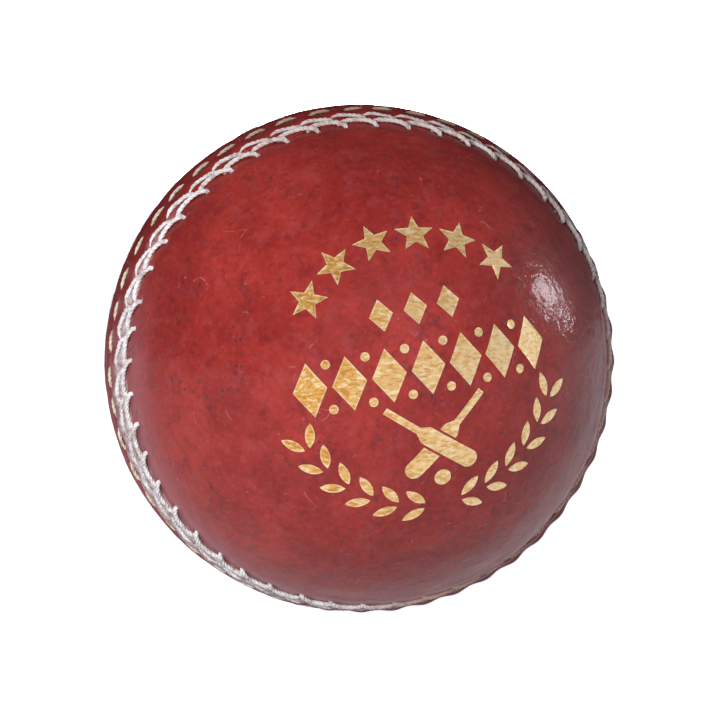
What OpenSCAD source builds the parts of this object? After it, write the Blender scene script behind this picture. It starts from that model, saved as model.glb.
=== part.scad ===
// Hand-stitched leather cricket ball, all sizes in mm.
//
// The origin is the centre of the ball, +Z is up and the main seam lies in the XZ plane.
// The stamped half faces -Y. Each layer, leather panel, thread row and foil motif is a node.

/* [Leather] */
// Radius of the leather surface away from the seam
leather_r = 35.7; // [35.5:0.1:36]
// Thickness of the leather panels
leather_t = 4.0; // [3.5:0.1:4.2]
// Angle the front panel join is turned from level, seen from the front
join_turn = 13.4; // [-45:0.1:45]

/* [Seam] */
// Stitches in each row of the main seam
stitches = 48; // [42:1:50]
// Diameter of the waxed seam thread
thread_d = 0.75; // [0.6:0.05:0.9]
// Height of the lips above the leather
lip_h = 0.7; // [0.5:0.05:0.8]
// Latitude of the closing stitches from the join, in degrees
closing_lat = 3.1; // [2.8:0.1:3.4]
// Latitude of the inner stitch rows, in degrees
inner_lat = 10.1; // [9.9:0.1:10.3]
// Latitude of the outer stitch rows, in degrees
outer_lat = 14.0; // [13.8:0.1:14.4]

/* [Core] */
// Radius of the cork and rubber core
core_r = 15; // [12:0.5:16]
// Thickness of each layer of cork strips
cork_t = 2.2; // [1.5:0.1:2.5]
// Thickness of the inner yarn winding
yarn_inner_t = 3.0; // [2:0.1:3.5]
// Thickness of the middle yarn winding
yarn_middle_t = 4.0; // [3:0.1:4.5]
// Thickness of the cloth lining under the leather
lining_t = 0.9; // [0.5:0.1:1]
// Strips in each cork layer
cork_strips = 6; // [4:1:8]

/* [Stamp] */
// Angle the stamp is turned from level, seen from the front
stamp_turn = 10.5; // [-45:0.5:45]
// Thickness of the gold foil
foil_t = 0.06; // [0.03:0.01:0.1]
// Radius of the stamp's outer ring, in degrees round its centre
stamp_ring = 33; // [31:1:34]
// Stars along the top of the stamp
stars = 6; // [3:1:6]
// Leaf pairs on each branch along the bottom of the stamp
leaf_pairs = 6; // [3:1:6]

/* [Hidden] */
strip_ids = [for (i = [1:cork_strips]) i];
$fn = 48;

// Layer radii, from the core outwards
yarn_inner_r = core_r + yarn_inner_t;
cork_inner_r = yarn_inner_r + cork_t;
yarn_middle_r = cork_inner_r + yarn_middle_t;
cork_outer_r = yarn_middle_r + cork_t;
leather_inner_r = leather_r - leather_t;
yarn_outer_r = leather_inner_r - lining_t;

// Gaps: between neighbouring cork strips, round a thread in the leather, and at each strip's ends
strip_gap = 0.3;
thread_fit = 0.04;
strip_end_r = 2.5;

// Leather puffed up between the stitch rows. Each pillow is [first latitude, last latitude, height].
pillows = [
    [0, closing_lat, lip_h],
    [closing_lat, inner_lat, lip_h - 0.2],
    [inner_lat, outer_lat, lip_h / 2]
];
groove_r = 0.6;
groove_floor = 0.05;
join_notch = 0.35;
hairline_r = 0.12;
hairline_start_lat = 18;

// A stitch is [latitude, longitude and chord as shares of the pitch, rise, lean, tilt].
// Lean tips its bulge towards the join. Tilt swings its leading end towards the pole.
pitch = 360 / stitches;
closing_stitch = [closing_lat, 0.35, 0.71, 0.55, -15, 8];
inner_stitch = [inner_lat, 0.67, 0.81, 1.1, 45, -10];
outer_stitch = [outer_lat, 0.41, 0.8, 1.2, 45, -14];
stitch_r = leather_r + lip_h - thread_d / 2;

// Panel stitches, on the inside of each pair of panels
panel_stitches = 18;
panel_stitch_step = 7;
panel_stitch = 2.8;
panel_stitch_rise = 1.1;
panel_thread_d = 0.6;
panel_groove_w = 3.6;
panel_groove_t = 0.7;

// Stamp layout, in degrees round the stamp's centre unless it says mm
stamp_offset = [4.6, 1.3];
star_span = 97;
bats_y = -17.5;
bats_ball_y = -26;
leaf_first = 8;
leaf_step = 11.5;
cut_depth = 8;

// Crossed bats, in mm. Each one crosses the other at that height over its toe.
bat_lean = 50;
bat_l = 15.7;
blade_l = 8.9;
crossing = 6.5;
bat_w = 2.6;
grip_w = 1.0;
bat_gap = 0.35;
big = 2 * leather_r;

// Turns the pole axis from +Z to -Y, the way the front half faces.
module front() {
    rotate([90, 0, 0]) children();
}

// Turns the pole axis to +Y. The back half is sewn the same way as the front one.
module back() {
    front() rotate([180, 0, 0]) children();
}

// Moves children out to radius r. There, +X is outwards, +Y is along the seam, +Z is towards the pole.
module on_ball(lon, lat, r) {
    rotate([0, 0, lon]) rotate([0, -lat, 0]) translate([r, 0, 0]) children();
}

// ---- Core layers ----

module shell(outer, inner) {
    difference() {
        sphere(r = outer);
        sphere(r = inner);
    }
}

module core() {
    color("saddlebrown") sphere(r = core_r);
}

module yarn(outer, inner) {
    color("wheat") shell(outer, inner);
}

// One strip of a cork layer: a lune that stops short of its two ends.
module cork_strip(i, outer) {
    inner = outer - cork_t;
    step = 360 / cork_strips;
    gap = strip_gap / outer * 180 / PI;
    color("peru") difference() {
        rotate([0, 0, i * step]) rotate_extrude(angle = step - gap) half_ring(outer, inner);
        cylinder(h = big, r = strip_end_r, center = true);
    }
}

module half_ring(outer, inner) {
    difference() {
        circle(r = outer);
        circle(r = inner);
        translate([-big, -big]) square([big, 2 * big]);
    }
}

// Half of the cloth lining, open at the join.
module lining() {
    color("beige") rotate_extrude() intersection() {
        half_ring(leather_inner_r, yarn_outer_r);
        square(big);
    }
}

// ---- Leather ----

// Section through one half's leather, from the join at y = 0 to the pole.
module cup_section() {
    difference() {
        union() {
            circle(r = leather_r);
            for (p = pillows) pillow(p[0], p[1], p[2]);
        }
        circle(r = leather_inner_r);
        for (lat = [closing_lat, inner_lat, outer_lat]) row_groove(lat);
        translate([leather_r + lip_h, 0]) rotate(45) square(join_notch * sqrt(2), center = true);
        translate([-big, -big]) square([big, 2 * big]);
        translate([-big, -big]) square([2 * big, big]);
    }
}

// An arc that stands the given height above the leather between two latitudes.
module pillow(from, to, height) {
    half_width = (to - from) / 2 * PI / 180 * leather_r;
    r = (half_width * half_width + height * height) / (2 * height);
    rotate((from + to) / 2) translate([leather_r + height - r, 0]) circle(r = r);
}

module row_groove(lat) {
    rotate(lat) translate([leather_r + groove_floor + groove_r, 0]) circle(r = groove_r);
}

// One leather panel: half a cup, with channels for its threads.
module panel(start) {
    color("firebrick") difference() {
        rotate([0, 0, start]) rotate_extrude(angle = 180) cup_section();
        for (s = [closing_stitch, inner_stitch, outer_stitch]) stitch_row(s, thread_fit, start, 180);
        rotate([0, 0, start]) hairline();
        rotate([0, 0, start]) panel_groove();
        rotate([0, 0, start]) panel_thread(thread_fit);
    }
}

// Fine groove where the two panels of a half meet.
module hairline() {
    rotate([90, 0, 0]) rotate([0, 0, hairline_start_lat])
        rotate_extrude(angle = 180 - 2 * hairline_start_lat) translate([leather_r, 0]) circle(r = hairline_r);
}

// Shallow groove inside the panel join, where the hidden stitches lie.
module panel_groove() {
    span = (panel_stitches + 1) * panel_stitch_step;
    rotate([90, 0, 0]) rotate([0, 0, 90 - span / 2]) rotate_extrude(angle = span)
        translate([leather_inner_r - 1, -panel_groove_w / 2]) square([1 + panel_groove_t, panel_groove_w]);
}

// ---- Threads ----

// A stitch along Y with its middle at the origin. Its ends dip along -X.
module stitch(chord, rise, d) {
    r = (chord * chord / 4 + rise * rise) / (2 * rise);
    half = acos((r - rise) / r);
    translate([-r, 0, 0]) rotate([0, 0, -half])
        rotate_extrude(angle = 2 * half) translate([r, 0]) circle(d = d);
}

// The stitches of one row, or those that reach a span of longitudes, with some clearance.
module stitch_row(s, fit = 0, from = 0, span = 360) {
    chord = s[2] * pitch * PI / 180 * stitch_r * cos(s[0]);
    for (i = [0:stitches - 1]) {
        lon = (i + s[1]) * pitch;
        if ((lon - from + pitch + 360) % 360 < span + 2 * pitch)
            on_ball(lon, s[0], stitch_r)
                rotate([s[5], 0, 0]) rotate([0, s[4], 0]) stitch(chord, s[3], thread_d + 2 * fit);
    }
}

// Hidden stitches across the join between the two panels of a half.
module panel_thread(fit = 0) {
    color("beige") for (i = [0:panel_stitches - 1]) {
        lat = 90 + (i - (panel_stitches - 1) / 2) * panel_stitch_step;
        on_ball(0, lat, leather_inner_r + panel_groove_t / 2)
            mirror([1, 0, 0]) stitch(panel_stitch, panel_stitch_rise, panel_thread_d + 2 * fit);
    }
}

// ---- Foil stamp ----

// Moves to a point of the stamp, angle degrees from its centre at a bearing counted from its baseline.
// Children are flat shapes in mm whose +Y points away from the centre. They are cut out of the foil.
module foil(bearing, angle, spin = 0) {
    intersection() {
        shell(leather_r + foil_t, leather_r);
        rotate([0, 0, stamp_turn]) stamp_centre() rotate([0, 0, bearing]) rotate([0, angle, 0])
            translate([0, 0, leather_r - cut_depth / 2]) rotate([0, 0, spin - 90])
                linear_extrude(cut_depth) children();
    }
}

module stamp_centre() {
    rotate([0, asin(stamp_offset[0] / leather_r), 0])
        rotate([-asin(stamp_offset[1] / leather_r), 0, 0]) children();
}

module star(r) {
    polygon([for (i = [0:9]) let (q = i % 2 == 0 ? r : 0.42 * r) q * [sin(i * 36), cos(i * 36)]]);
}

module lozenge(w, h) {
    polygon([[0, -h / 2], [w / 2, 0], [0, h / 2], [-w / 2, 0]]);
}

// Pointed leaf from the origin along +Y.
module leaf(length, width) {
    r = (length * length / 4 + width * width / 4) / width;
    translate([0, length / 2]) intersection() {
        translate([r - width / 2, 0]) circle(r = r);
        translate([width / 2 - r, 0]) circle(r = r);
    }
}

module foil_stars() {
    color("gold") for (i = [0:stars - 1])
        foil(90 + star_span / 2 - i * star_span / (stars - 1), stamp_ring - 2) star(2.9);
}

// Point of the stamp at x along its baseline and y above it, in degrees, as [bearing, angle].
function spot(x, y) = [atan2(y, x), norm([x, y])];

// Places a shape at x, y of the stamp, upright.
module foil_at(x, y) {
    s = spot(x, y);
    foil(s[0], s[1], 90 - s[0]) children();
}

module foil_band() {
    color("gold") {
        for (x = [-27:9:27]) foil_at(x, 0) lozenge(4.9, 7.6);
        for (x = [-22.5:9:22.5], y = [-5.2, 5.2]) foil_at(x, y) circle(r = 0.65);
        for (x = [-8:8:8]) foil_at(x, 13.5) lozenge(3.4, 4.6);
    }
}

// A cricket bat along Y, its toe down and its crossing point at the origin.
module bat() {
    translate([0, -crossing]) {
        translate([0, bat_w / 2]) circle(d = bat_w);
        translate([-bat_w / 2, bat_w / 2]) square([bat_w, blade_l - bat_w / 2]);
        translate([0, blade_l]) shoulders();
        translate([-grip_w / 2, blade_l + bat_w / 2]) square([grip_w, bat_l - blade_l - bat_w / 2]);
    }
}

// Narrows a bat from its blade to its grip.
module shoulders() {
    polygon([[-bat_w / 2, 0], [bat_w / 2, 0], [grip_w / 2, bat_w / 2], [-grip_w / 2, bat_w / 2]]);
}

// Two crossed bats with a ball between their toes. The rear bat stops short of the front one.
module foil_bats() {
    color("gold") {
        foil_at(0, bats_y) {
            rotate(bat_lean) bat();
            difference() {
                rotate(-bat_lean) bat();
                rotate(bat_lean) square([bat_w + 2 * bat_gap, 2 * bat_w], center = true);
            }
        }
        foil_at(0, bats_ball_y) circle(d = 2.4);
    }
}

// Two branches that start at the foot of the stamp and run up its sides.
module foil_laurel() {
    color("gold") for (side = [-1, 1], i = [0:leaf_pairs - 1]) {
        bearing = 270 + side * (leaf_first + i * leaf_step);
        foil(bearing, stamp_ring + 0.7, side * 55) leaf(3.6, 1.4);
        foil(bearing, stamp_ring - 0.7, side * 125) leaf(3.6, 1.4);
    }
}

// ---- Nodes ----

core();
yarn(yarn_inner_r, core_r);  // yarn_inner
for (i = strip_ids)
    rotate([0, 90, 0]) cork_strip(i, cork_inner_r);
yarn(yarn_middle_r, cork_inner_r);  // yarn_middle
for (i = strip_ids)
    front() cork_strip(i, cork_outer_r);
yarn(yarn_outer_r, cork_outer_r);  // yarn_outer
front() lining();  // lining_front
back() lining();  // lining_back
front() panel(join_turn);  // leather_front_upper
front() panel(join_turn + 180);  // leather_front_lower
back() panel(join_turn + 90);  // leather_back_left
back() panel(join_turn + 270);  // leather_back_right
front() rotate([0, 0, join_turn]) panel_thread();  // panel_thread_front
back() rotate([0, 0, join_turn + 90]) panel_thread();  // panel_thread_back
front() color("tan") stitch_row(closing_stitch);  // closing_thread_front
back() color("tan") stitch_row(closing_stitch);  // closing_thread_back
front() color("white") stitch_row(inner_stitch);  // seam_thread_front_inner
front() color("white") stitch_row(outer_stitch);  // seam_thread_front_outer
back() color("white") stitch_row(inner_stitch);  // seam_thread_back_inner
back() color("white") stitch_row(outer_stitch);  // seam_thread_back_outer
front() foil_stars();
front() foil_band();
front() foil_bats();
front() foil_laurel();
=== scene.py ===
"""Looks of the stitched leather ball: puckered panels, twisted threads, foil stamp, light and camera.

Shapes are worked out in mm in the frame of one half, whose pole is +Z and whose join lies in the XY plane.
to_frame() then turns a half to the way it faces and scales it to metres.
"""
import math

import bmesh
import bpy
import numpy as np
from mathutils import Matrix, Vector


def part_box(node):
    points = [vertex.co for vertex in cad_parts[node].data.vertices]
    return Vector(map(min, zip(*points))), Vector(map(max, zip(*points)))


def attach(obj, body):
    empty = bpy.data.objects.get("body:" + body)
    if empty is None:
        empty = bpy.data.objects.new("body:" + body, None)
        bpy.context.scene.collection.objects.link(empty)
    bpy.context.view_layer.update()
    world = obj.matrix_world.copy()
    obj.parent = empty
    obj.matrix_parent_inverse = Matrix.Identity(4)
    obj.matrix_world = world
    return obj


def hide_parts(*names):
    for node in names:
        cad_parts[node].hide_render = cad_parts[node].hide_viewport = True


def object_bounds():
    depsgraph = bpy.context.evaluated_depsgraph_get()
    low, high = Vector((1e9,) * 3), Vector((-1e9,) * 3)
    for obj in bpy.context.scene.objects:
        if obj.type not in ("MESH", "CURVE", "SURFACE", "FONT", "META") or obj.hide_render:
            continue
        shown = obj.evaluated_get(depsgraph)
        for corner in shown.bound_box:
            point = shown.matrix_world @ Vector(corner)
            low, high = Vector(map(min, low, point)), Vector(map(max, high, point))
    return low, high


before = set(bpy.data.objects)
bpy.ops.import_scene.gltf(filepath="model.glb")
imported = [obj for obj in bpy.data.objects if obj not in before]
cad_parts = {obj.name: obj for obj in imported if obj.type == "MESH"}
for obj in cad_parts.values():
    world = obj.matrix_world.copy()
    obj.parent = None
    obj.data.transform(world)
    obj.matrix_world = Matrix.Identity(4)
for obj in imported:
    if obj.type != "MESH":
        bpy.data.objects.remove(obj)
cad_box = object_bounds()

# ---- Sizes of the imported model, in mm, or in degrees from the join and round the pole ----

# One mm in metres.
MM = 0.001
LEATHER_R = -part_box("leather_front_upper")[0].y / MM
LINING_R = -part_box("lining_front")[0].y / MM
SEAM_R = cad_box[1].x / MM
LIP_H = 0.7
STITCHES = 48
PITCH = 360 / STITCHES
THREAD_D = 0.75

# Turn of the join between each half's two panels.
JOIN_TURN = 13.4
PANEL_TURN = {"front": JOIN_TURN, "back": JOIN_TURN + 90}

# Groove for the panel stitches: its depth, how far from the join its sides rise, and the latitudes
# between which its end slopes.
PANEL_GROOVE_T = 0.7
PANEL_GROOVE_SIDE = (1.5, 2.1)
PANEL_GROOVE_END = (22, 24)

# The stamp's turn, its centre's distance from the pole along and above its baseline, and its ring's
# distance from that centre, in degrees.
STAMP_TURN = 10.5
STAMP_OFFSET = (4.6, 1.3)
STAMP_RING = 33

# Crossed bats of the stamp. Each crosses the other at BAT_CROSSING over its toe.
BAT_LEAN = 50
BAT_L = 15.7
BLADE_L = 8.9
BAT_CROSSING = 6.5
BAT_W = 2.6
GRIP_W = 1.0
BAT_GAP = 0.35

# Latitudes of the thread rows, and how far from the join their marks in the leather reach.
CLOSING_LAT = 3.1
INNER_LAT = 10.1
OUTER_LAT = 14.0
NEAR_SEAM = 22

# One stitch of each row as points of (longitude from its middle, latitude, height over the leather).
CLOSING_PATH = [(-2.6, 2.9, -0.3), (-2.4, 3.0, 0.05), (-1.4, 3.3, 0.36), (0.0, 3.5, 0.44),
                (1.4, 3.4, 0.36), (2.4, 3.3, 0.05), (2.6, 3.2, -0.3)]
INNER_PATH = [(-4.4, 12.8, -0.5), (-4.0, 12.4, 0.05), (-2.8, 11.2, 0.3), (-0.8, 10.2, 0.32),
              (1.4, 9.9, 0.28), (3.0, 10.1, 0.02), (3.8, 10.4, -0.5)]
OUTER_PATH = [(-5.0, 16.6, -0.5), (-4.6, 16.3, 0.12), (-3.2, 15.3, 0.36), (-1.1, 14.2, 0.36),
              (1.4, 13.8, 0.28), (3.2, 13.8, 0.02), (4.1, 14.0, -0.55)]

# Each row's stitch, the longitude of its first stitch's middle, how deep its threads press the leather
# in, its thread's diameter and its random seed. The closing thread is pulled tight, so it is thinner.
ROWS = {
    "closing": dict(path=CLOSING_PATH, first=0.35 * PITCH, dent=0.36, cord_d=0.7 * THREAD_D, seed=3),
    "inner": dict(path=INNER_PATH, first=0.67 * PITCH, dent=0.26, cord_d=0.94 * THREAD_D, seed=5),
    "outer": dict(path=OUTER_PATH, first=0.41 * PITCH, dent=0.26, cord_d=0.98 * THREAD_D, seed=7),
}
# Added to a row's seed on the back half.
BACK_SEED = 100
# How unevenly the stitches are sewn, in (longitude, latitude, height) and as a share of their length.
SHIFT_SPREAD = (0.32, 0.22, 0.04)
STRETCH_SPREAD = 0.03

# From a half's frame to the shared one, as the two ways the halves face.
FACING = {
    "front": np.array(Matrix.Rotation(math.radians(90), 3, "X")),
    "back": np.array(Matrix.Rotation(math.radians(270), 3, "X")),
}


def to_frame(half, points):
    """Points in mm in a half's frame, as points in metres in the shared frame."""
    return np.asarray(points) @ FACING[half].T * MM


def on_sphere(lon, lat, r):
    """Points at a longitude and latitude in degrees and a radius in mm."""
    lon, lat = np.radians(lon), np.radians(lat)
    return np.stack([r * np.cos(lat) * np.cos(lon), r * np.cos(lat) * np.sin(lon), r * np.sin(lat)], -1)


def turn_between(lon, other):
    """Degrees round to a longitude from another one, from -180 to 180."""
    return (lon - other + 180) % 360 - 180


def panel_join_distance(half, lon, lat, r):
    """Distance in mm from the join between a half's two panels, at a radius."""
    return np.abs(np.sin(np.radians(lon - PANEL_TURN[half]))) * np.cos(np.radians(lat)) * r


def bell(x, width):
    """1 at 0, falling smoothly to either side."""
    return np.exp(-(x / width) ** 2)


def step(x, low, high):
    """0 below low, 1 above high, smooth between them."""
    t = np.clip((x - low) / (high - low), 0, 1)
    return t * t * (3 - 2 * t)


# ---- Stitches ----

# Low on the right the front stitches are pulled in: where, over how many degrees, and by how many mm.
TIGHT_LON = 320
TIGHT_WIDTH = 42
TIGHT_SINK = 0.46
# Low on the left the front's inner row wanders towards the join: where, over how many degrees, and by
# how many.
DRIFT_LON = 216
DRIFT_WIDTH = 38
DRIFT = 1.7
# How much deeper the back's closing stitches are pulled in, in mm.
BACK_SINK = 0.5


def stitch_curve(path, samples):
    """Smooth curve through a stitch's points, as rows of (longitude, latitude, height)."""
    points = np.array(path)
    along = np.linspace(0, 1, len(points))
    at = np.linspace(0, 1, samples)
    slopes = np.gradient(points, along, axis=0)
    cell = np.clip(np.searchsorted(along, at, "right") - 1, 0, len(points) - 2)
    width = along[1] - along[0]
    t = ((at - along[cell]) / width)[:, None]
    a, b, ma, mb = points[cell], points[cell + 1], slopes[cell] * width, slopes[cell + 1] * width
    return ((2 * t**3 - 3 * t**2 + 1) * a + (t**3 - 2 * t**2 + t) * ma
            + (3 * t**2 - 2 * t**3) * b + (t**3 - t**2) * mb)


def hand_sewn(half, row):
    """Each stitch's own shift of (longitude, latitude, height), its stretch, and its twist's start."""
    rng = np.random.default_rng(ROWS[row]["seed"] + (BACK_SEED if half == "back" else 0))
    shift = rng.normal(0, 1, (STITCHES, 3)) * SHIFT_SPREAD
    return shift, 1 + rng.normal(0, STRETCH_SPREAD, STITCHES), rng.uniform(0, 1, STITCHES)


def stitch_lines(half, row, samples):
    """Every stitch of a row as an array of [stitch, sample, (longitude, latitude, height)]."""
    shift, stretch, _ = hand_sewn(half, row)
    lines = np.repeat(stitch_curve(ROWS[row]["path"], samples)[None], STITCHES, 0)
    lines[..., 0] *= stretch[:, None]
    lines += shift[:, None, :]
    lines[..., 0] += (ROWS[row]["first"] + np.arange(STITCHES) * PITCH)[:, None]
    if half == "front":
        lines[..., 2] -= TIGHT_SINK * tight(lines[..., 0])
    if row == "inner":
        lines[..., 1] -= drift(half, lines[..., 0])
    if half == "back" and row == "closing":
        lines[..., 2] -= BACK_SINK
    return lines


def drift(half, lon):
    """How far the inner row has wandered towards the join, in degrees."""
    if half == "back":
        return 0 * lon
    return DRIFT * bell(turn_between(lon, DRIFT_LON), DRIFT_WIDTH)


def tight(lon):
    """1 where the front stitches are pulled in most, falling to 0 to either side."""
    return bell(turn_between(lon, TIGHT_LON), TIGHT_WIDTH)


def swelling(lon):
    """1 where the leather swells between stitches, 0 at the middles of the outer row's stitches."""
    return 0.5 - 0.5 * np.cos(np.radians((lon - ROWS["outer"]["first"]) * STITCHES))


# ---- Surface of the leather ----

# Share of the pucker between stitches that each half shows.
PUCKER = {"front": 1, "back": 0.4}
# The stitches draw the seam in, most of all at their middles: by how many mm, and at what latitude.
TENSION = 0.18
TENSION_LAT = 9.5
TENSION_WIDTH = 4
# The seam stands further out at its sides than at its top and bottom: by how many mm, what share of
# that is drawn in at the top, and how many degrees from the join it reaches.
OVAL = 0.15
OVAL_INWARDS = 0.4
OVAL_WIDTH = 35
# Dents under the threads and holes at their ends, in mm.
DENT_WIDTH = 0.56
HOLE_T = 0.32
HOLE_WIDTH = 0.46
# Share of its full depth that a dent has on the back, and how much shallower the tight ones are.
BACK_DENT = 0.6
TIGHT_DENT = 0.8
# Height in mm of the leather between the closing and inner rows, what it gains between stitches and
# where they are tight, and its height between the inner and outer rows.
RIDGE_H = LIP_H - 0.28
RIDGE_SWELLING = 0.2
TIGHT_RISE = 0.42
OUTER_RIDGE_H = 0.6 * LIP_H
# The lips start a little past the join, so that they meet over its floor, in mm.
LIP_START = -0.12
# Soft swelling of the leather beyond the outer row, in mm.
SHOULDER_H = 0.1
SHOULDER_OUT = 4.2
SHOULDER_WIDTH = 1.5
# Crease along each half's panel join: (depth in mm, share of it that is worn away under the stamp),
# its width in mm, and the latitudes between which it and the wear begin.
CREASE = {"front": (0.014, 0.9), "back": (0.03, 0)}
CREASE_WIDTH = 0.22
CREASE_START = (18, 26)
STAMP_START = (24, 38)
# Unevenness of the leather as sets of hills of (height, length) in mm, each the sum of random waves.
HILLS = ((0.05, 17), (0.018, 6), (0.006, 2.3))
WAVES_EACH = 14
WAVES = np.random.default_rng(11).normal(0, 1, (len(HILLS), WAVES_EACH, 3))
PHASES = np.random.default_rng(12).uniform(0, 2 * np.pi, (len(HILLS), WAVES_EACH))


def tension(half, lon, lat):
    """How far the stitches draw the seam in, in mm: most at their middles."""
    return TENSION * PUCKER[half] * (1 - swelling(lon)) * bell(lat - TENSION_LAT, TENSION_WIDTH)


def oval(lon, lat):
    """How far the seam stands out past a true circle, in mm: less than 0 at its top and bottom."""
    return OVAL * (np.cos(np.radians(lon)) ** 2 - OVAL_INWARDS) * bell(lat, OVAL_WIDTH)


def thread_marks(half, row, lon, lat):
    """How far a row's threads and their holes press the leather in at each point, in mm."""
    lines = stitch_lines(half, row, samples=15)
    nearest = np.full(lon.shape, np.inf)
    hole = np.full(lon.shape, np.inf)
    guess = np.floor((lon - ROWS[row]["first"]) / PITCH).astype(int)
    # Only the two stitches to either side of a point can be its nearest.
    for side in (-1, 0, 1, 2):
        line = lines[(guess + side) % STITCHES]
        for k in range(line.shape[-2]):
            across = turn_between(lon, line[..., k, 0]) * np.cos(np.radians(lat))
            away = np.radians(np.hypot(across, lat - line[..., k, 1])) * LEATHER_R
            nearest = np.minimum(nearest, away)
            if k in (0, line.shape[-2] - 1):
                hole = np.minimum(hole, away)
    return ROWS[row]["dent"] * bell(nearest, DENT_WIDTH) + HOLE_T * bell(hole, HOLE_WIDTH)


def dents(half, lon, lat):
    """How far all the threads press the leather in, in mm: less on the back and where they are tight."""
    share = BACK_DENT if half == "back" else 1 - TIGHT_DENT * tight(lon)
    return share * sum(thread_marks(half, row, lon, lat) for row in ROWS)


def pillow(x, low, high, height, fullness=0.6):
    """Leather that bulges between two lines of stitches."""
    t = np.clip((x - low) / (high - low), 0, 1)
    return height * (4 * t * (1 - t)) ** fullness


def ridges(half, lon, lat):
    """The lips beside the join and the leather puffed up between the rows, in mm."""
    rows = (CLOSING_LAT, INNER_LAT - drift(half, lon), OUTER_LAT)
    x, closing, inner, outer = (np.radians(place) * LEATHER_R for place in (lat, *rows))
    ridge = RIDGE_H + RIDGE_SWELLING * PUCKER[half] * swelling(lon)
    if half == "front":
        ridge += TIGHT_RISE * tight(lon)
    return (pillow(x, LIP_START, closing, LIP_H) + pillow(x, closing, inner, ridge)
            + pillow(x, inner, outer, OUTER_RIDGE_H)
            + SHOULDER_H * bell(x - outer - SHOULDER_OUT, SHOULDER_WIDTH))


def lumps(points, level, length):
    """Random smooth hills of about unit height, that far apart in mm."""
    ways = WAVES[level] / np.linalg.norm(WAVES[level], axis=1)[:, None]
    phase = points @ ways.T * (2 * np.pi / length) + PHASES[level]
    return np.sin(phase).sum(-1) / math.sqrt(len(ways))


def hills(half, lon, lat):
    """Slight unevenness of the leather, in mm."""
    at = on_sphere(lon, lat, LEATHER_R if half == "front" else -LEATHER_R)
    return sum(height * lumps(at, level, length) for level, (height, length) in enumerate(HILLS))


def crease(half, lon, lat):
    """Depth in mm of the crease along the join between a half's two panels."""
    depth, worn = CREASE[half]
    line = bell(panel_join_distance(half, lon, lat, LEATHER_R), CREASE_WIDTH)
    return depth * line * (1 - worn * step(lat, *STAMP_START)) * step(lat, *CREASE_START)


def leather_height(half, lon, lat):
    """Height of the leather over its plain sphere, in mm."""
    height = ridges(half, lon, lat) + oval(lon, lat) - tension(half, lon, lat)
    near = lat < NEAR_SEAM
    height[near] -= dents(half, lon[near], lat[near])
    return height + hills(half, lon, lat) - crease(half, lon, lat)


# ---- Mesh building ----

def new_mesh(name, verts, faces, sharp_over=None):
    """A smooth mesh object from points in metres and faces, with its normals turned outwards.

    Edges that fold by more than sharp_over degrees stay sharp.
    """
    mesh = bpy.data.meshes.new(name)
    mesh.from_pydata([tuple(v) for v in verts], [], faces)
    bm = bmesh.new()
    bm.from_mesh(mesh)
    bmesh.ops.recalc_face_normals(bm, faces=bm.faces)
    for face in bm.faces:
        face.smooth = True
    if sharp_over is not None:
        for edge in bm.edges:
            if edge.is_manifold and edge.calc_face_angle() > math.radians(sharp_over):
                edge.smooth = False
    bm.to_mesh(mesh)
    bm.free()
    obj = bpy.data.objects.new(name, mesh)
    bpy.context.scene.collection.objects.link(obj)
    return obj


def gather(parts):
    """All the points and all the faces of (points, faces) pairs, numbered on from one to the next."""
    points, faces, count = [], [], 0
    for got, found in parts:
        points.append(got)
        faces += [tuple(i + count for i in face) for face in found]
        count += len(got)
    return np.concatenate(points), faces


# ---- Leather panels ----

# The grids of a panel's two sides, as zones of (first latitude, last latitude, rows, columns).
OUTSIDE = [(0, 17.2, 76, 432), (17.2, 48, 42, 216), (48, 74, 24, 108), (74, 90, 12, 54)]
INSIDE = [(0, 90, 60, 108)]
# Longitudes of the two columns next to a panel's edge, which are closer together than the others.
EDGE_COLUMNS = (0.3, 0.8)
# Leather and foil keep a sharp edge where their faces fold by more than this, in degrees.
LEATHER_FOLD = 55
FOIL_FOLD = 40


def strip(a, b):
    """Faces between two rows of vertex numbers, which may differ in count."""
    if len(a) == len(b):
        return [(a[i], a[i + 1], b[i + 1], b[i]) for i in range(len(a) - 1)]
    faces, i, j = [], 0, 0
    # A row that has ended counts as being at 2, past the other row's end.
    while i < len(a) - 1 or j < len(b) - 1:
        next_a = (i + 1) / (len(a) - 1) if i < len(a) - 1 else 2
        next_b = (j + 1) / (len(b) - 1) if j < len(b) - 1 else 2
        if next_a <= next_b:
            faces.append((a[i], a[i + 1], b[j]))
            i += 1
        else:
            faces.append((a[i], b[j + 1], b[j]))
            j += 1
    return faces


def cap_rows(zones):
    """Latitudes and column counts from the join to just short of the pole."""
    rows = []
    for low, high, count, columns in zones:
        lats = np.linspace(low, high, count, endpoint=False)
        rows += [(lat, columns) for lat in lats]
    return rows


def panel_columns(columns):
    """Longitudes across a panel, from one edge to the other."""
    first, second = EDGE_COLUMNS
    between = np.linspace(second, 180 - second, columns - 3)
    return np.concatenate([[0, first], between, [180 - first, 180]])


def panel_skin(half, start, zones, radius):
    """Points and rows of vertex numbers of one side of a panel, the last row being its pole."""
    points, rows, count = [], [], 0
    for lat, columns in cap_rows(zones):
        lon = start + panel_columns(columns)
        lats = np.full_like(lon, lat)
        points.append(on_sphere(lon, lats, radius(half, lon, lats)))
        rows.append(list(range(count, count + columns + 1)))
        count += columns + 1
    pole = np.array([float(start)]), np.array([90.0])
    points.append(on_sphere(*pole, radius(half, *pole)))
    rows.append([count])
    return np.concatenate(points), rows


def outer_radius(half, lon, lat):
    """Outside of the leather."""
    return LEATHER_R + leather_height(half, lon, lat)


def inner_radius(half, lon, lat):
    """Inside of the leather, with the groove for the panel stitches."""
    groove = 1 - step(panel_join_distance(half, lon, lat, LINING_R), *PANEL_GROOVE_SIDE)
    return LINING_R + PANEL_GROOVE_T * groove * step(lat, *PANEL_GROOVE_END)


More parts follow.
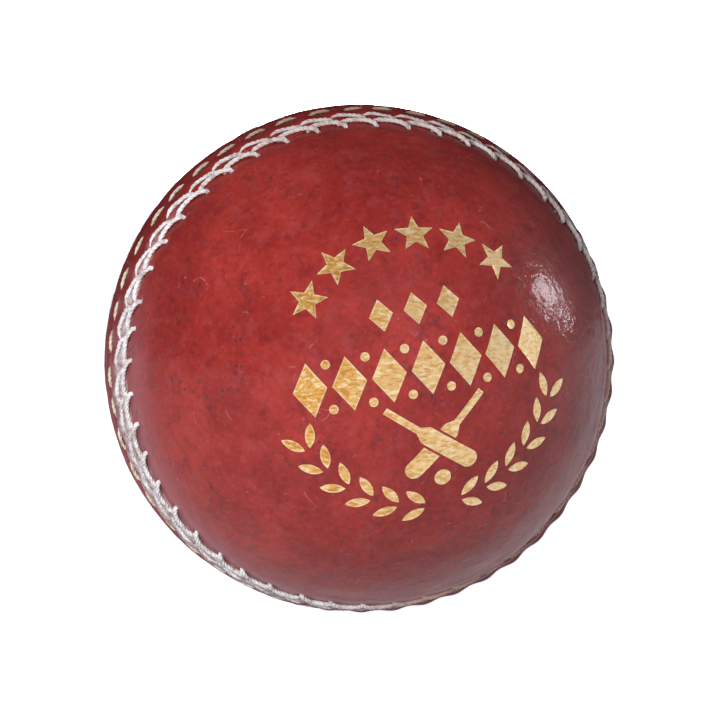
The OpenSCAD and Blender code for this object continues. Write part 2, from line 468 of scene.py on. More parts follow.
def leather_panel(name, half, start):
    """One closed leather panel: outside, inside, and the cut edges at both joins."""
    skin, rows = panel_skin(half, start, OUTSIDE, outer_radius)
    inner, inner_rows = panel_skin(half, start, INSIDE, inner_radius)
    inner_rows = [[i + len(skin) for i in row] for row in inner_rows]
    faces = []
    for sheet in (rows, inner_rows):
        for a, b in zip(sheet, sheet[1:]):
            faces += strip(a, b)
    faces += strip(rows[0], inner_rows[0])
    over, under = ([row[0] for row in sheet] + [row[-1] for row in sheet[-2::-1]]
                   for sheet in (rows, inner_rows))
    faces += strip(over, under)
    obj = new_mesh(name, to_frame(half, np.concatenate([skin, inner])), faces, LEATHER_FOLD)
    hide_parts(name)
    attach(obj, "root")
    return obj


# ---- Threads ----

# Plies of a thread, sides of each, and the length of one turn of their twist in mm.
PLIES = 3
PLY_SIDES = 8
LAY = 2.3
# How much thicker the plies are than round ones that only touch, because they press together.
PLY_PRESSED = 1.12


def unit(ways):
    """Vectors scaled to a length of 1."""
    return ways / np.linalg.norm(ways, axis=1)[:, None]


def squared(vectors, ways):
    """Vectors turned square to unit ways, at a length of 1."""
    return unit(vectors - (vectors * ways).sum(1)[:, None] * ways)


def tube(core, out, r):
    """Points of a tube round a path, ring by ring. out holds a direction off the path at each point."""
    ways = unit(np.gradient(core, axis=0))
    u = squared(out, ways)
    v = np.cross(ways, u)
    turn = np.linspace(0, 2 * np.pi, PLY_SIDES, endpoint=False)
    rings = core[:, None] + r * (np.cos(turn)[None, :, None] * u[:, None]
                                 + np.sin(turn)[None, :, None] * v[:, None])
    return rings.reshape(-1, 3)


def tube_faces(rings):
    """Sides and two flat ends of a tube with that many rings of points."""
    faces = []
    for start in range(0, (rings - 1) * PLY_SIDES, PLY_SIDES):
        for j in range(PLY_SIDES):
            a, b = start + j, start + (j + 1) % PLY_SIDES
            faces.append((a, b, b + PLY_SIDES, a + PLY_SIDES))
    last = (rings - 1) * PLY_SIDES
    return faces + [tuple(range(PLY_SIDES)), tuple(range(last, last + PLY_SIDES))]


def cord(path, diameter, phase):
    """Points and faces of a twisted cord along a path in mm round the ball."""
    along = np.concatenate([[0], np.cumsum(np.linalg.norm(np.diff(path, axis=0), axis=1))])
    ply_r = diameter / 2 / (1 + 1 / math.sin(math.pi / PLIES)) * PLY_PRESSED
    centre_r = diameter / 2 - ply_r
    ways = unit(np.gradient(path, axis=0))
    out = squared(path, ways)
    side = np.cross(ways, out)
    plies = []
    for k in range(PLIES):
        angle = (2 * np.pi * (k / PLIES + along / LAY + phase))[:, None]
        core = path + centre_r * (np.cos(angle) * out + np.sin(angle) * side)
        plies.append((tube(core, out, ply_r), tube_faces(len(path))))
    return gather(plies)


def thread_row(node, half, row):
    """All the stitches of one row as short lengths of twisted thread."""
    _, _, phases = hand_sewn(half, row)
    cords = []
    for line, phase in zip(stitch_lines(half, row, samples=24), phases):
        lon, lat, height = line.T
        path = on_sphere(lon, lat, LEATHER_R + height + oval(lon, lat) - tension(half, lon, lat))
        cords.append(cord(path, ROWS[row]["cord_d"], phase))
    points, faces = gather(cords)
    obj = new_mesh(node, to_frame(half, points), faces)
    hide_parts(node)
    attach(obj, "root")
    return obj


# ---- Shapes of the stamp, as outlines in mm ----

def star(r, waist=0.42, points=5):
    """Star with its first point up."""
    angles = [math.pi * i / points for i in range(2 * points)]
    return [(q * math.sin(angle), q * math.cos(angle)) for q, angle in zip([r, waist * r] * points, angles)]


def lozenge(w, h):
    """Upright lozenge."""
    return [(0, -h / 2), (w / 2, 0), (0, h / 2), (-w / 2, 0)]


def disc(r, sides=24):
    """Round dot."""
    angles = [2 * math.pi * i / sides for i in range(sides)]
    return [(r * math.cos(angle), r * math.sin(angle)) for angle in angles]


def leaf(length, width, points=9):
    """Pointed leaf from the origin along +Y, between two arcs."""
    r = (length**2 + width**2) / 4 / width
    half = math.asin(length / 2 / r)
    side = [(r * math.cos(t) - r + width / 2, length / 2 + r * math.sin(t))
            for t in np.linspace(-half, half, points)]
    return side + [(-x, y) for x, y in side[-2:0:-1]]


def bat():
    """A cricket bat along Y, its toe down and its crossing point at the origin."""
    toe_y, shoulder_y, end_y = -BAT_CROSSING + BAT_W / 2, BLADE_L - BAT_CROSSING, BAT_L - BAT_CROSSING
    toe = [(BAT_W / 2 * math.cos(t), toe_y + BAT_W / 2 * math.sin(t)) for t in np.linspace(-math.pi, 0, 13)]
    grip = GRIP_W / 2
    return toe + [(BAT_W / 2, shoulder_y), (grip, shoulder_y + BAT_W / 2), (grip, end_y),
                  (-grip, end_y), (-grip, shoulder_y + BAT_W / 2), (-BAT_W / 2, shoulder_y)]


def beyond(shape, way, least):
    """The part of a convex or slender shape that lies at least so far along a direction."""
    kept = []
    for a, b in zip(shape, shape[1:] + shape[:1]):
        far_a, far_b = np.dot(a, way) - least, np.dot(b, way) - least
        if far_a >= 0:
            kept.append(a)
        if far_a * far_b < 0:
            t = far_a / (far_a - far_b)
            kept.append((a[0] + t * (b[0] - a[0]), a[1] + t * (b[1] - a[1])))
    return kept


def turned(shape, degrees):
    """An outline turned anticlockwise."""
    c, s = math.cos(math.radians(degrees)), math.sin(math.radians(degrees))
    return [(c * x - s * y, s * x + c * y) for x, y in shape]


# ---- Foil stamp ----

# Cells that the foil is cut into so that it follows the leather, and its raised rim's width, in mm.
FOIL_CELL = 0.7
FOIL_RIM = 0.24
# Share of the rim's height that the middle has, the rim's height, and how deep the foil is pressed
# in, in mm.
FOIL_MIDDLE = 0.6
FOIL_H = 0.13
FOIL_PRESSED = 0.05


def rotation(degrees, axis):
    """Turn about an axis, as a matrix."""
    return Matrix.Rotation(math.radians(degrees), 3, axis)


def stamp_frame(bearing, angle, spin):
    """Turns the pole to a point of the stamp, angle degrees from its centre.

    The bearing counts from its baseline. At a spin of 0 an outline's +Y points away from that centre.
    """
    across, up = (math.degrees(math.asin(part / LEATHER_R)) for part in STAMP_OFFSET)
    centre = rotation(across, "Y") @ rotation(-up, "X")
    return np.array(rotation(STAMP_TURN, "Z") @ centre @ rotation(bearing, "Z") @ rotation(angle, "Y")
                    @ rotation(spin - 90, "Z"))


def upright(x, y):
    """The stamp frame at x along the baseline and y above it, in degrees."""
    bearing = math.degrees(math.atan2(y, x))
    return stamp_frame(bearing, math.hypot(x, y), 90 - bearing)


def foil_sheet(shape):
    """Points and faces of an outline as a flat sheet, its back at 0 and its raised rim at 1."""
    bm = bmesh.new()
    face = bm.faces.new([bm.verts.new((x, y, 0)) for x, y in shape])
    if face.normal.z < 0:
        face.normal_flip()
    walls = bmesh.ops.extrude_face_region(bm, geom=[face])["geom"]
    top = [g for g in walls if isinstance(g, bmesh.types.BMFace)]
    for g in walls:
        if isinstance(g, bmesh.types.BMVert):
            g.co.z = 1
    bmesh.ops.recalc_face_normals(bm, faces=bm.faces)
    bmesh.ops.inset_region(bm, faces=top, thickness=FOIL_RIM, use_even_offset=True)
    for v in {v for f in top for v in f.verts}:
        v.co.z = FOIL_MIDDLE
    cut_cells(bm, shape)
    bmesh.ops.triangulate(bm, faces=[f for f in bm.faces if len(f.verts) > 4])
    bm.verts.index_update()
    points = np.array([v.co for v in bm.verts])
    faces = [tuple(v.index for v in f.verts) for f in bm.faces]
    bm.free()
    return points, faces


def cut_cells(bm, shape):
    """Cuts a sheet into cells along both of its axes."""
    low = np.array(shape).min(0)
    high = np.array(shape).max(0)
    for axis in (0, 1):
        for at in np.arange(low[axis] + FOIL_CELL / 2, high[axis], FOIL_CELL):
            where, normal = [0, 0, 0], [0, 0, 0]
            where[axis], normal[axis] = at, 1
            bmesh.ops.bisect_plane(bm, geom=bm.verts[:] + bm.edges[:] + bm.faces[:], plane_co=where,
                                   plane_no=normal, dist=1e-4)


def press(sheet, place):
    """A sheet's points, laid on the leather at a place of the stamp."""
    x, y, z = sheet.T
    ways = np.column_stack([x, y, np.sqrt(LEATHER_R**2 - x**2 - y**2)]) @ place.T / LEATHER_R
    lon = np.degrees(np.arctan2(ways[:, 1], ways[:, 0]))
    lat = np.degrees(np.arcsin(ways[:, 2]))
    ground = LEATHER_R + leather_height("front", lon, lat)
    return ways * (ground - FOIL_PRESSED + FOIL_H * z)[:, None]


def foil(node, pieces):
    """One foil node from its (shape, place) pairs, with each point's share of the middle's look."""
    parts, centres = [], []
    for shape, place in pieces:
        sheet, faces = foil_sheet(shape)
        parts.append((press(sheet, place), faces))
        centres.append(np.where(sheet[:, 2] > 0, (1 - sheet[:, 2]) / (1 - FOIL_MIDDLE), 0))
    points, faces = gather(parts)
    obj = new_mesh(node, to_frame("front", points), faces, FOIL_FOLD)
    share = obj.data.attributes.new("centre", "FLOAT", "POINT")
    share.data.foreach_set("value", np.concatenate(centres))
    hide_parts(node)
    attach(obj, "root")
    return obj


def star_pieces(count=6, span=97, r=2.9, inset=2):
    """Stars in an arc across the top of the ring."""
    gap = span / (count - 1)
    return [(star(r), stamp_frame(90 + span / 2 - i * gap, STAMP_RING - inset, 0))
            for i in range(count)]


def band_pieces(spacing=9, reach=27, dot_y=5.2, small_y=13.5, small_spacing=8):
    """Lozenges on the baseline, dots over and under the gaps between them, and three small lozenges."""
    big = [(lozenge(w=4.9, h=7.6), upright(x, 0)) for x in range(-reach, reach + 1, spacing)]
    gaps = np.arange(-reach + spacing / 2, reach, spacing)
    dots = [(disc(r=0.65), upright(x, y)) for x in gaps for y in (-dot_y, dot_y)]
    small = [(lozenge(w=3.4, h=4.6), upright(side * small_spacing, small_y)) for side in (-1, 0, 1)]
    return big + dots + small


def bat_pieces(y=-17.5, ball_y=-26, ball_r=1.2):
    """The front bat, the two ends of the rear bat, and a ball between their toes."""
    across = np.array((math.cos(math.radians(BAT_LEAN)), math.sin(math.radians(BAT_LEAN))))
    rear = turned(bat(), -BAT_LEAN)
    ends = [beyond(rear, side * across, BAT_W / 2 + BAT_GAP) for side in (-1, 1)]
    bats = [(shape, upright(0, y)) for shape in [turned(bat(), BAT_LEAN)] + ends]
    return bats + [(disc(ball_r), upright(0, ball_y))]


def laurel_pieces(pairs=6, first=8, gap=11.5, apart=0.7, length=3.6, width=1.4):
    """Two branches round the foot of the ring, with leaves on both sides of each."""
    pieces = []
    for side in (-1, 1):
        for i in range(pairs):
            bearing = 270 + side * (first + i * gap)
            for ring, lean in ((STAMP_RING + apart, 55), (STAMP_RING - apart, 125)):
                pieces.append((leaf(length, width), stamp_frame(bearing, ring, side * lean)))
    return pieces


# ---- Materials ----

def srgb(r, g, b):
    """A colour given as 0 to 255 screen values, as the linear one that a shader takes."""
    line = [c / 255 / 12.92 if c <= 10.3 else ((c / 255 + 0.055) / 1.055) ** 2.4 for c in (r, g, b)]
    return (*line, 1)


class Nodes:
    """The node tree of a material or a world, with short calls for its nodes."""

    def __init__(self, owner, coordinates):
        owner.use_nodes = True
        self.tree = owner.node_tree
        self.place = self.node("ShaderNodeTexCoord").outputs[coordinates]

    def node(self, kind, **settings):
        """A new node with some of its settings."""
        made = self.tree.nodes.new(kind)
        for key, value in settings.items():
            setattr(made, key, value)
        return made

    def join(self, source, socket):
        """Links an output to an input, or sets the input to a plain value."""
        if isinstance(source, bpy.types.NodeSocket):
            self.tree.links.new(source, socket)
        else:
            socket.default_value = source

    def dot(self, way):
        """How far the place lies along a direction."""
        made = self.node("ShaderNodeVectorMath", operation="DOT_PRODUCT")
        self.join(self.place, made.inputs[0])
        made.inputs[1].default_value = Vector(way).normalized()
        return made.outputs["Value"]

    def ramp(self, value, low, high, out_low=0.0, out_high=1.0):
        """Maps low..high to out_low..out_high, smoothly and clamped."""
        made = self.node("ShaderNodeMapRange", interpolation_type="SMOOTHSTEP")
        self.join(value, made.inputs["Value"])
        ends = {"From Min": low, "From Max": high, "To Min": out_low, "To Max": out_high}
        for name, number in ends.items():
            made.inputs[name].default_value = number
        return made.outputs["Result"]

    def math(self, operation, a, b=0.0):
        """A number worked out from one or two others."""
        made = self.node("ShaderNodeMath", operation=operation)
        self.join(a, made.inputs[0])
        self.join(b, made.inputs[1])
        return made.outputs[0]


class Look(Nodes):
    """A material, with its textures' sizes in mm."""

    def __init__(self, name, **sockets):
        self.material = bpy.data.materials.new(name)
        super().__init__(self.material, "Object")
        self.shader = self.tree.nodes["Principled BSDF"]
        for socket, value in sockets.items():
            self.shader.inputs[socket.replace("_", " ")].default_value = value

    def stretch(self, x, y, z, turn=(0, 0, 0)):
        """The object's own coordinates, turned, and scaled along each axis."""
        made = self.node("ShaderNodeMapping")
        self.join(self.place, made.inputs["Vector"])
        made.inputs["Scale"].default_value = (x, y, z)
        made.inputs["Rotation"].default_value = turn
        return made.outputs[0]

    def towards(self, way, near, far, most=1.0):
        """Rises from 0 to most between two distances in mm from the ball's centre along a direction."""
        return self.ramp(self.dot(way), near * MM, far * MM, 0, most)

    def noise(self, size, detail=3, rough=0.55, warp=0, where=None):
        """Cloudy noise from 0 to 1 with features of about size mm."""
        made = self.node("ShaderNodeTexNoise")
        self.join(where or self.place, made.inputs["Vector"])
        made.inputs["Scale"].default_value = 1 / (size * MM)
        made.inputs["Detail"].default_value = detail
        made.inputs["Roughness"].default_value = rough
        made.inputs["Distortion"].default_value = warp
        return made.outputs["Fac"]

    def cells(self, size, feature="F1", where=None, output="Distance"):
        """Voronoi cells about size mm across."""
        made = self.node("ShaderNodeTexVoronoi", feature=feature)
        self.join(where or self.place, made.inputs["Vector"])
        made.inputs["Scale"].default_value = 1 / (size * MM)
        return made.outputs[output]

    def mix(self, amount, a, b):
        """Colour a towards colour b."""
        made = self.node("ShaderNodeMix", data_type="RGBA")
        self.join(amount, made.inputs["Factor"])
        self.join(a, made.inputs["A"])
        self.join(b, made.inputs["B"])
        return made.outputs["Result"]

    def layers(self, colour, *coats):
        """A colour under coats of (amount, colour), the last one on top."""
        for amount, coat in coats:
            colour = self.mix(amount, colour, coat)
        return colour

    def bump(self, height, depth, under=None):
        """Bumps that are depth mm high where height goes from 0 to 1."""
        made = self.node("ShaderNodeBump")
        made.inputs["Strength"].default_value = 1
        made.inputs["Distance"].default_value = depth * MM
        self.join(height, made.inputs["Height"])
        if under is not None:
            self.join(under, made.inputs["Normal"])
        return made.outputs["Normal"]

    def finish(self, colour, roughness, normal):
        """Links the shader's colour, roughness and bumps, and gives the material."""
        self.join(colour, self.shader.inputs["Base Color"])
        self.join(roughness, self.shader.inputs["Roughness"])
        self.join(normal, self.shader.inputs["Normal"])
        return self.material


def seam_distance(look):
    """Distance from the plane of the seam, in mm."""
    parts = look.node("ShaderNodeSeparateXYZ")
    look.join(look.place, parts.inputs[0])
    return look.math("MULTIPLY", look.math("ABSOLUTE", parts.outputs["Y"]), 1 / MM)


def dye(look):
    """Mottled red dye with a faint bloom."""
    cloud = look.noise(11, detail=4, rough=0.6)
    mottle = look.noise(2.4, detail=5, rough=0.68, warp=0.4)
    speckle = look.noise(0.8, detail=3, rough=0.7)
    bloom = look.noise(2.1, detail=4, rough=0.62)
    return look.layers(
        look.mix(look.ramp(cloud, 0.35, 0.7), srgb(148, 43, 38), srgb(174, 56, 49)),
        (look.ramp(mottle, 0.48, 0.72, 0, 0.72), srgb(116, 35, 34)),
        (look.ramp(speckle, 0.48, 0.7, 0, 0.36), srgb(114, 35, 37)),
        (look.ramp(speckle, 0.46, 0.28, 0, 0.35), srgb(200, 70, 60)),
        (look.ramp(bloom, 0.48, 0.7, 0, 0.22), srgb(170, 84, 88)))


def leather_look():
    """Dyed and worn leather with painted shade along the seam and a painted sheen low on the left, under
    wax, which is thin along the seam and crinkles the reflections.
    """
    look = Look("leather", Specular_IOR_Level=0.11, Coat_Roughness=0.14, Coat_IOR=1.45)
    colour = look.layers(
        dye(look),
        # Painted sheen beside the threads, low on the left.
        (painted_sheen(look), srgb(188, 126, 136)),
        # Painted shade: the leather darkens towards the seam.
        (look.ramp(seam_distance(look), 10.5, 6.5, 0, 0.4), srgb(110, 28, 28)),
        # Painted shade in the groove of the join, mostly on the ball's top.
        (groove_shade(look), srgb(62, 24, 27)),
        (pale_band(look), srgb(226, 212, 212)),
        (smudges(look), srgb(60, 44, 56)),
        (scratches(look), srgb(206, 128, 120)))
    look.join(look.ramp(seam_distance(look), 7, 20, 0.09, 0.27), look.shader.inputs["Coat Weight"])
    soft = look.bump(look.noise(3.2, detail=2, rough=0.5), 0.05)
    crinkle = look.bump(look.noise(1.25, detail=2, rough=0.5), 0.068, soft)
    look.join(look.bump(look.noise(0.45, detail=1), 0.02, crinkle), look.shader.inputs["Coat Normal"])
    grain = look.ramp(look.cells(0.5, feature="DISTANCE_TO_EDGE"), 0, 0.25)
    pores = look.ramp(look.cells(0.9), 0.25, 0.08)
    normal = look.bump(pores, -0.016, look.bump(grain, 0.01, crinkle))
    roughness = look.ramp(look.noise(3.5, detail=4, rough=0.65), 0.3, 0.75, 0.46, 0.6)
    return look.finish(colour, roughness, normal)


def pale_band(look):
    """A pale, patchy band between the front's two rows, low on the left.

    It starts nearer to the join where the inner row has wandered that way.
    """
    start = look.math("ADD", seam_distance(look), look.towards((-0.8, 0, -0.6), 24, 36, 2.4))
    band = look.math("MULTIPLY", look.ramp(start, 5.2, 7.2), look.ramp(seam_distance(look), 9.2, 8.1))
    low_left = look.towards((-0.75, 0, -0.66), 2, 20)
    front = look.towards((0, -1, 0), -2, 2)
    patchy = look.ramp(look.noise(0.8, detail=4, rough=0.75), 0.36, 0.6, 0.15, 0.92)
    for share in (low_left, front, patchy):
        band = look.math("MULTIPLY", band, share)
    return band


def painted_sheen(look):
    """Painted sheen: a faint pale glow on the leather beside the threads, low on the left."""
    beside = look.ramp(seam_distance(look), 18, 11.5, 0, 0.36)
    return look.math("MULTIPLY", beside, look.towards((-0.7, 0, -0.7), 8, 30))


def groove_shade(look):
    """Painted shade in the groove of the join, mostly on the ball's top."""
    groove = look.ramp(seam_distance(look), 3.6, 2.4)
    return look.math("MULTIPLY", groove, look.towards((-0.3, 0.2, 1), -8, 24, 0.45))


def smudges(look):
    """Dark scuffs and clusters of dark pores, in patches, and most of all low on the right."""
    patch = look.ramp(look.noise(9, detail=3, rough=0.6), 0.5, 0.66)
    patch = look.math("MAXIMUM", patch, look.towards((0.6, -0.3, -0.75), 12, 30, 0.9))
    broken = look.ramp(look.noise(1.1, detail=4, rough=0.7), 0.52, 0.68, 0, 0.6)
    pores = look.ramp(look.cells(1.25), 0.24, 0.14, 0, 0.7)
    return look.math("MULTIPLY", patch, look.math("MAXIMUM", broken, pores))


def shaken(look, turns_per_mm=0.12, shift=6):
    """The place, moved about at random by up to shift mm, so that lines drawn on it wander."""
    wobble = look.node("ShaderNodeTexNoise")
    look.join(look.place, wobble.inputs["Vector"])
    wobble.inputs["Scale"].default_value = turns_per_mm / MM
    shrink = look.node("ShaderNodeVectorMath", operation="SCALE")
    look.join(wobble.outputs["Color"], shrink.inputs[0])
    shrink.inputs["Scale"].default_value = shift * MM
    moved = look.node("ShaderNodeVectorMath", operation="ADD")
    look.join(look.place, moved.inputs[0])
    look.join(shrink.outputs[0], moved.inputs[1])
    return moved.outputs[0]


def scratches(look):
    """Short pale scratches and dots of rubbed off dye."""
    line = look.ramp(look.cells(7, feature="DISTANCE_TO_EDGE", where=shaken(look)), 0.014, 0.004)
    line = look.math("MULTIPLY", line, look.ramp(look.noise(3, detail=2), 0.6, 0.68, 0, 0.35))
    dots = look.ramp(look.cells(2.6), 0.1, 0.05)
    dots = look.math("MULTIPLY", dots, look.ramp(look.noise(9, detail=2), 0.5, 0.62, 0, 0.5))
    return look.math("MAXIMUM", line, dots)


def thread_look(name, light, dark, dirt_and_shade):
    """Spun thread, browner on the ball's top and low on its right, from dirt and painted shade."""
    look = Look(name, Specular_IOR_Level=0.25)
    tone = look.noise(1.1, detail=4, rough=0.7)
    fibre = look.noise(0.09, detail=3, rough=0.7)
    colour = look.layers(
        look.mix(look.ramp(tone, 0.42, 0.68), light, dark),
        (look.ramp(fibre, 0.45, 0.8, 0, 0.35), dark),
        # Dirt and painted shade: browner towards the ball's top.
        (look.towards((0.4, 0, 0.92), 2, 30, dirt_and_shade), srgb(150, 116, 94)),
        # Painted shade and dirt: browner low on the right.
        (look.towards((0.75, 0, -0.66), 16, 32, 0.8), srgb(226, 178, 144)))
    return look.finish(colour, look.ramp(tone, 0.3, 0.7, 0.42, 0.62), look.bump(fibre, 0.03))


def foil_look():
    """Gold leaf: pale on the raised rim, streaked along the baseline, and paler on the right."""
    look = Look("foil", Metallic=0.45, Specular_IOR_Level=0.5)
    centre = look.node("ShaderNodeAttribute", attribute_name="centre").outputs["Fac"]
    grain = look.stretch(0.34, 1, 1, turn=(0, math.radians(STAMP_TURN), 0))
    fleck = look.noise(0.26, detail=3, rough=0.7, where=grain)
    streak = look.noise(0.44, detail=2, rough=0.55, warp=0.6, where=grain)
    worn = look.noise(2.2, detail=4, rough=0.65)
    right = look.towards((1, 0, 0), -16, 22)
    ochre = look.mix(right, srgb(196, 124, 36), srgb(222, 172, 104))
    gilt = look.layers(
        look.mix(right, srgb(222, 166, 84), srgb(238, 206, 152)),
        (look.ramp(streak, 0.52, 0.62, 0, 0.85), ochre),
        (look.ramp(streak, 0.46, 0.36, 0, 0.8), srgb(242, 218, 170)),
        (look.ramp(fleck, 0.56, 0.7, 0, 0.6), srgb(138, 96, 46)))
    rim = look.mix(look.ramp(streak, 0.4, 0.62, 0, 0.8), srgb(240, 216, 170), srgb(214, 164, 92))
    colour = look.mix(look.ramp(centre, 0.35, 0.95), rim, gilt)
    return look.finish(colour, look.ramp(worn, 0.3, 0.7, 0.42, 0.6), look.bump(fleck, 0.025))


def core_look():
    """Grains of cork in dark rubber."""
    look = Look("core")
    tint = look.cells(1.6, output="Color")
    grains = look.cells(1.6, feature="DISTANCE_TO_EDGE")
    colour = look.mix(look.ramp(tint, 0.2, 0.8), srgb(122, 84, 52), srgb(78, 52, 34))
    colour = look.mix(look.ramp(grains, 0.12, 0.02), colour, srgb(34, 26, 22))
    return look.finish(colour, look.ramp(tint, 0, 1, 0.7, 0.9), look.bump(look.ramp(grains, 0, 0.2), 0.15))


def cork_look():
    """Pitted sheet cork."""
    look = Look("cork")
    tint = look.noise(1.2, detail=5, rough=0.7)
    pits = look.cells(1.1)
    colour = look.mix(look.ramp(tint, 0.3, 0.7), srgb(196, 152, 104), srgb(160, 112, 68))
    colour = look.mix(look.ramp(pits, 0.24, 0.1), colour, srgb(84, 52, 30))
    return look.finish(colour, look.ramp(tint, 0, 1, 0.75, 0.92), look.bump(look.ramp(pits, 0.1, 0.3), 0.1))


def yarn_look():
    """Wool yarn, wound in two directions."""
    look = Look("yarn", Sheen_Weight=0.3)
    windings = (((1, 0.06, 0.06), (0, 0.4, 0.3)), ((0.06, 1, 0.06), (0.5, 0, 0.9)))
    strands = [look.noise(0.5, detail=2, where=look.stretch(*scale, turn=turn)) for scale, turn in windings]
    wound = look.math("MAXIMUM", *strands)
    colour = look.mix(look.ramp(wound, 0.45, 0.7), srgb(150, 132, 100), srgb(222, 208, 178))
    return look.finish(colour, look.ramp(wound, 0.3, 0.7, 0.95, 0.8), look.bump(wound, 0.4))


def lining_look():
    """Plain woven cloth."""
    look = Look("lining", Sheen_Weight=0.2)
    waves = []
    for direction in ("X", "Z"):
        wave = look.node("ShaderNodeTexWave", bands_direction=direction)
        look.join(look.place, wave.inputs["Vector"])
        wave.inputs["Scale"].default_value = 0.5 / MM
        waves.append(wave.outputs["Fac"])
    weave = look.math("MULTIPLY", *waves)
    colour = look.mix(look.ramp(weave, 0.05, 0.6), srgb(176, 164, 136), srgb(228, 220, 200))
    return look.finish(colour, look.ramp(weave, 0, 1, 0.95, 0.82), look.bump(weave, 0.12))


def wear(obj, material):
    """Gives an object its one material."""
    obj.data.materials.clear()
    obj.data.materials.append(material)


# ---- Stage ----

# The camera's place round the ball, its distance in metres, and its axes to the right, up and back.
AZIMUTH = math.radians(-8.75)
ELEVATION = math.radians(5.6)
CAMERA_DISTANCE = 1.0
CAMERA_BACK = Vector((math.sin(AZIMUTH) * math.cos(ELEVATION), -math.cos(AZIMUTH) * math.cos(ELEVATION),
                      math.sin(ELEVATION)))
CAMERA_RIGHT = Vector((math.cos(AZIMUTH), math.sin(AZIMUTH), 0))
CAMERA_AXES = Matrix((CAMERA_RIGHT, CAMERA_BACK.cross(CAMERA_RIGHT), CAMERA_BACK)).transposed()
# The ball's share of the picture's height, and the lens's shift, which moves it a little off the middle.
BALL_SHARE = 0.70891
LENS_SHIFT = (-0.00404, -0.00084)
# Half the width of the floor, and the distances of the lights and of the window, in metres.
FLOOR_REACH = 4.0
LIGHT_DISTANCE = 1.2
WINDOW_DISTANCE = 0.9
# Where the sky glows, in the camera's right, up and back.
GLOW_FROM = (0.25, 0.3, 0.92)
# Colours of the lights, the sky and the floor's glow, a little cooler than white.
LIGHT_TINT = (0.95, 0.97, 1)
SKY_TINT = (0.86, 0.89, 1, 1)
FLOOR_TINT = (0.93, 0.95, 1, 1)


def floor_look():
    """White paper with a glow of its own, so that it stays white all over."""
    look = Look("floor", Emission_Color=FLOOR_TINT, Emission_Strength=0.98)
    tint = look.noise(90, detail=2)
    colour = look.mix(look.ramp(tint, 0.3, 0.7), srgb(247, 247, 247), srgb(250, 250, 250))
    return look.finish(colour, look.ramp(tint, 0.3, 0.7, 0.75, 0.8), look.bump(tint, 0.001))


def make_floor():
    """The floor under the ball, which throws no light up at it."""
    corners = [(x * FLOOR_REACH, y * FLOOR_REACH, cad_box[0].z)
               for x, y in ((-1, -1), (1, -1), (1, 1), (-1, 1))]
    floor = new_mesh("floor", corners, [(0, 1, 2, 3)])
    wear(floor, floor_look())
    floor.visible_diffuse = False


def make_camera():
    """A long lens, in which the ball fills its share of the picture."""
    ball_r = SEAM_R * MM
    seen_r = ball_r / math.sqrt(1 - (ball_r / CAMERA_DISTANCE) ** 2)
    data = bpy.data.cameras.new("camera")
    data.lens = data.sensor_width * BALL_SHARE * CAMERA_DISTANCE / (2 * seen_r)
    data.shift_x, data.shift_y = LENS_SHIFT
    data.clip_start, data.clip_end = 0.1, 20
    camera = bpy.data.objects.new("camera", data)
    camera.location = CAMERA_BACK * CAMERA_DISTANCE
    camera.rotation_euler = CAMERA_BACK.to_track_quat("Z", "Y").to_euler()
    bpy.context.scene.collection.objects.link(camera)
    bpy.context.scene.camera = camera


def area_light(name, direction, distance, size, radiance, diffuse=True, glossy=True):
    """A soft light that shines at the ball from a direction, given in the camera's right, up and back."""
    data = bpy.data.lights.new(name, "AREA")
    data.shape = "RECTANGLE"
    data.size, data.size_y = size
    data.energy = radiance * math.pi * data.size * data.size_y
    data.color = LIGHT_TINT
    light = bpy.data.objects.new(name, data)
    toward = (CAMERA_AXES @ Vector(direction)).normalized()
    light.location = toward * distance
    light.rotation_euler = toward.to_track_quat("Z", "Y").to_euler()
    light.visible_camera = False
    light.visible_diffuse, light.visible_glossy = diffuse, glossy
    bpy.context.scene.collection.objects.link(light)


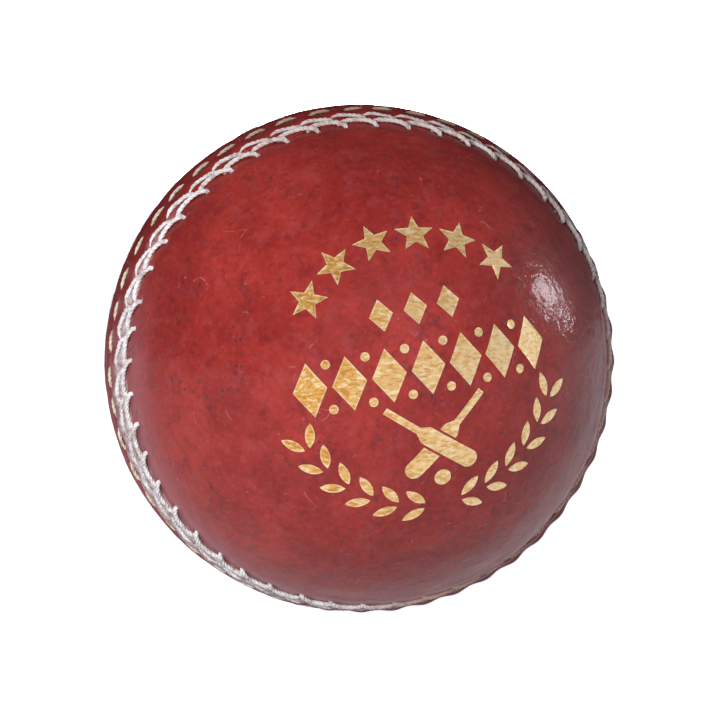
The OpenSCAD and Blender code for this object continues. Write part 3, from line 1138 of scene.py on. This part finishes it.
def make_lights():
    """Three lights that make no reflection, and two panes of a window that make only reflections."""
    area_light("key", (-0.36, 0.03, 0.93), LIGHT_DISTANCE, size=(0.5, 0.5), radiance=20.5, glossy=False)
    area_light("behind", (0, 0.14, -0.99), LIGHT_DISTANCE, size=(0.5, 0.3), radiance=16, glossy=False)
    area_light("right", (0.9, 0.1, -0.42), LIGHT_DISTANCE, size=(0.5, 0.5), radiance=0.8, glossy=False)
    area_light("window", (0.926, 0.326, -0.19), WINDOW_DISTANCE, size=(0.2, 0.15), radiance=30,
               diffuse=False)
    area_light("side_pane", (0.925, 0.178, -0.335), WINDOW_DISTANCE, size=(0.036, 0.055), radiance=60,
               diffuse=False)


def make_world():
    """A glow from the front right in a dim sky, all of which the camera sees as white."""
    world = bpy.data.worlds.new("world")
    sky = Nodes(world, "Generated")
    glow = sky.ramp(sky.dot(CAMERA_AXES @ Vector(GLOW_FROM)), 0.75, 1, 0.08, 1.15)
    seen = sky.math("MULTIPLY", sky.node("ShaderNodeLightPath").outputs["Is Camera Ray"], 1.2)
    backdrop = sky.tree.nodes["Background"]
    backdrop.inputs["Color"].default_value = SKY_TINT
    sky.join(sky.math("ADD", seen, glow), backdrop.inputs["Strength"])
    bpy.context.scene.world = world


# ---- Build ----

make_camera()

leather = leather_look()
for name, half, turn in (("leather_front_upper", "front", 0), ("leather_front_lower", "front", 180),
                         ("leather_back_left", "back", 0), ("leather_back_right", "back", 180)):
    wear(leather_panel(name, half, PANEL_TURN[half] + turn), leather)

waxed = thread_look("waxed_thread", srgb(253, 250, 249), srgb(194, 178, 169), dirt_and_shade=0.5)
tarnished = thread_look("tarnished_thread", srgb(238, 230, 206), srgb(186, 166, 134), dirt_and_shade=0.8)
for half in FACING:
    wear(thread_row(f"closing_thread_{half}", half, "closing"), tarnished)
    for row in ("inner", "outer"):
        wear(thread_row(f"seam_thread_{half}_{row}", half, row), waxed)

gold = foil_look()
for node, pieces in (("foil_stars", star_pieces()), ("foil_band", band_pieces()),
                     ("foil_bats", bat_pieces()), ("foil_laurel", laurel_pieces())):
    wear(foil(node, pieces), gold)

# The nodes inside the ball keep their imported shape. The first word of a node's name is its kind.
hidden = {"core": core_look(), "cork": cork_look(), "yarn": yarn_look(), "lining": lining_look(),
          "panel": thread_look("panel_thread", srgb(214, 200, 168), srgb(168, 150, 112), dirt_and_shade=0.1)}
for node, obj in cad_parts.items():
    kind = node.split("_")[0]
    if kind in hidden:
        wear(obj, hidden[kind])

make_floor()
make_lights()
make_world()
bpy.context.scene.view_settings.view_transform = "Standard"
